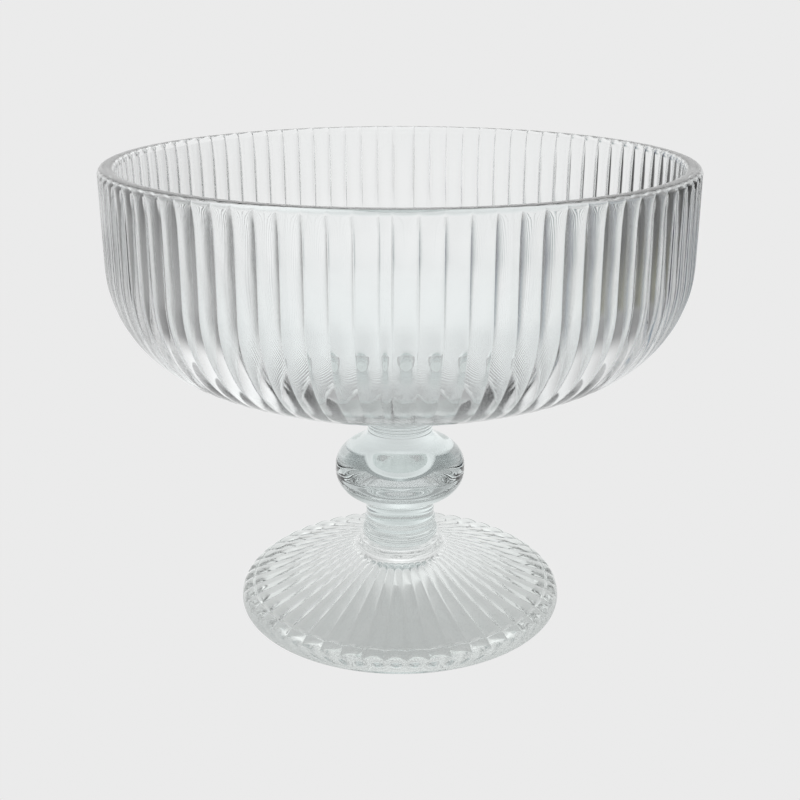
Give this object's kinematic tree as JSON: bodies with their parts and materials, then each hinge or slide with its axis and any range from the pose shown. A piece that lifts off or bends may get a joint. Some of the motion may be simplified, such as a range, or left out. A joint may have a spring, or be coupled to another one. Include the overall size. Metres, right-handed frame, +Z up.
{
  "type": "footed dessert bowl",
  "caption": "Clear pressed-glass footed dessert bowl: a round ribbed bowl on a knop stem with a ribbed conical foot, for serving ice cream, fruit or pudding.",
  "frame": {"origin": "centre of the foot's resting ring, on the table", "axes": "+Z up along the axis of the bowl, stem and foot; X and Y level"},
  "size_m": [0.12, 0.12, 0.0988],
  "materials": {
    "ribbed_glass": "clear pressed glass, fire-polished, ribbed outside",
    "stem_glass": "clear pressed glass, thick, with a faint grey-green tint"
  },
  "bodies": {
    "root": {"bowl": "ribbed_glass", "bowl_wafer": "stem_glass", "knop_stem": "stem_glass", "foot_wafer": "stem_glass", "foot": "ribbed_glass"}
  },
  "joints": []
}
